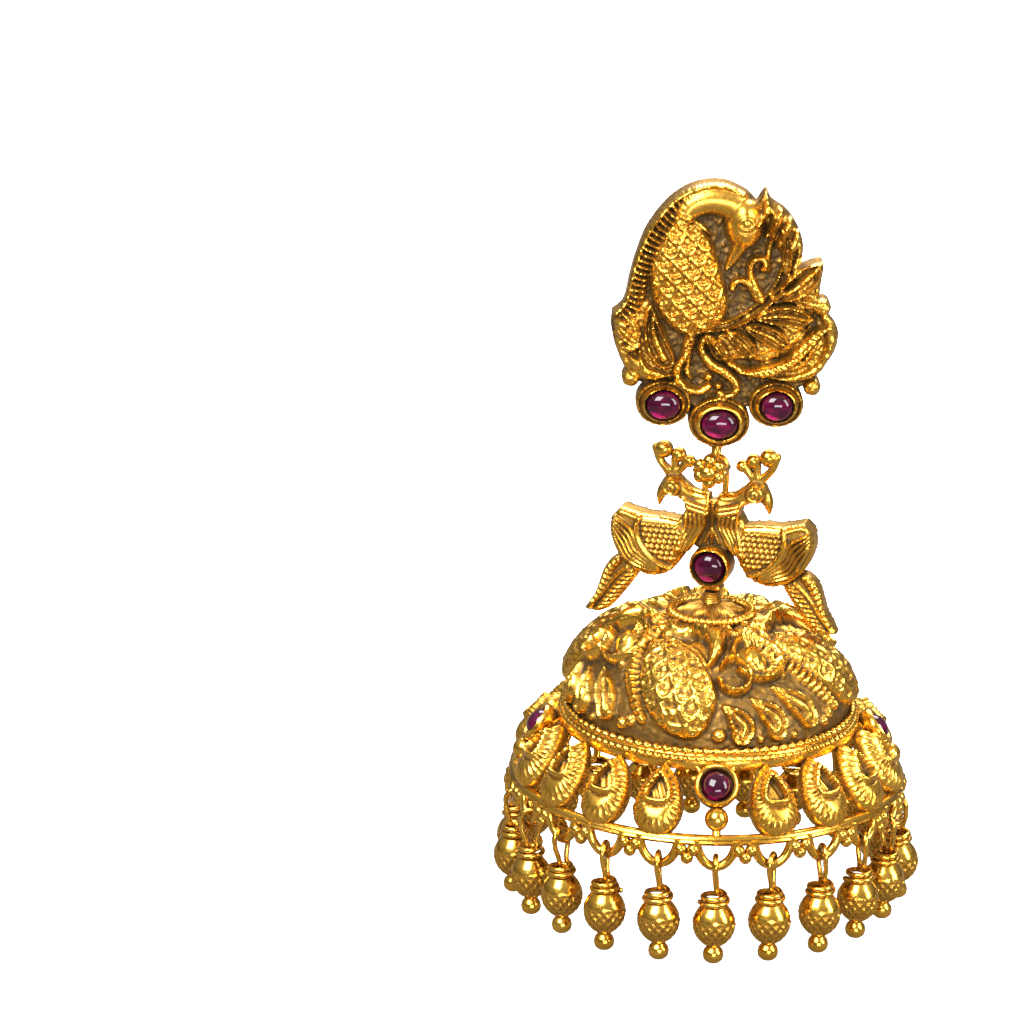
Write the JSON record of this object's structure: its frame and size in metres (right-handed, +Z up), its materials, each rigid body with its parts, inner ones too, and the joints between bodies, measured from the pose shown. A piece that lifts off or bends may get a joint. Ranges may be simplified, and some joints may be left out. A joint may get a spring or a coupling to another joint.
{
  "type": "jhumka earring",
  "caption": "Drop earring with a peacock plaque on an ear post, a ring, a pair of peacocks and a hollow bell fringed with small beads.",
  "frame": {"origin": "where the ear post leaves the plaque's flat back, in the plane of that back", "axes": "+Z up, along the hanging earring; -Y is the front of the plaque; +Y is along the ear post, away from the back"},
  "size_m": [0.0398, 0.0402, 0.0681],
  "materials": {
    "antique_gold": "cast, gilded, with dark patina in the recesses",
    "bright_gold": "gilded and polished",
    "ruby": "polished cabochon"
  },
  "bodies": {
    "stud": {"stud_plaque": "antique_gold", "stud_ruby_left": "ruby", "stud_ruby_middle": "ruby", "stud_ruby_right": "ruby", "ear_post": "bright_gold"},
    "link": {"link_ring": "bright_gold"},
    "pendant": {"peacock_pair": "antique_gold", "peacock_ruby": "ruby", "bell_stem": "bright_gold", "bell_dome": "antique_gold", "bell_skirt": "antique_gold", "skirt_ruby_1": "ruby", "skirt_ruby_2": "ruby", "skirt_ruby_3": "ruby", "skirt_ruby_4": "ruby", "drop_01": "bright_gold", "drop_02": "bright_gold", "drop_03": "bright_gold", "drop_04": "bright_gold", "drop_05": "bright_gold", "drop_06": "bright_gold", "drop_07": "bright_gold", "drop_08": "bright_gold", "drop_09": "bright_gold", "drop_10": "bright_gold", "drop_11": "bright_gold", "drop_12": "bright_gold", "drop_13": "bright_gold", "drop_14": "bright_gold", "drop_15": "bright_gold", "drop_16": "bright_gold", "drop_17": "bright_gold", "drop_18": "bright_gold", "drop_19": "bright_gold", "drop_20": "bright_gold", "drop_21": "bright_gold", "drop_22": "bright_gold"}
  },
  "joints": [
    {"name": "ring_swing", "type": "hinge", "parent": "stud", "child": "link", "pos_m": [0, 0.0001, -0.0152], "axis": [1, 0, 0], "range_deg": [-10, 30]},
    {"name": "pendant_sway", "type": "hinge", "parent": "link", "child": "pendant", "pos_m": [0, 0.0001, -0.01712], "axis": [0.1392, 0.9903, 0], "range_deg": [-12, 12]}
  ]
}
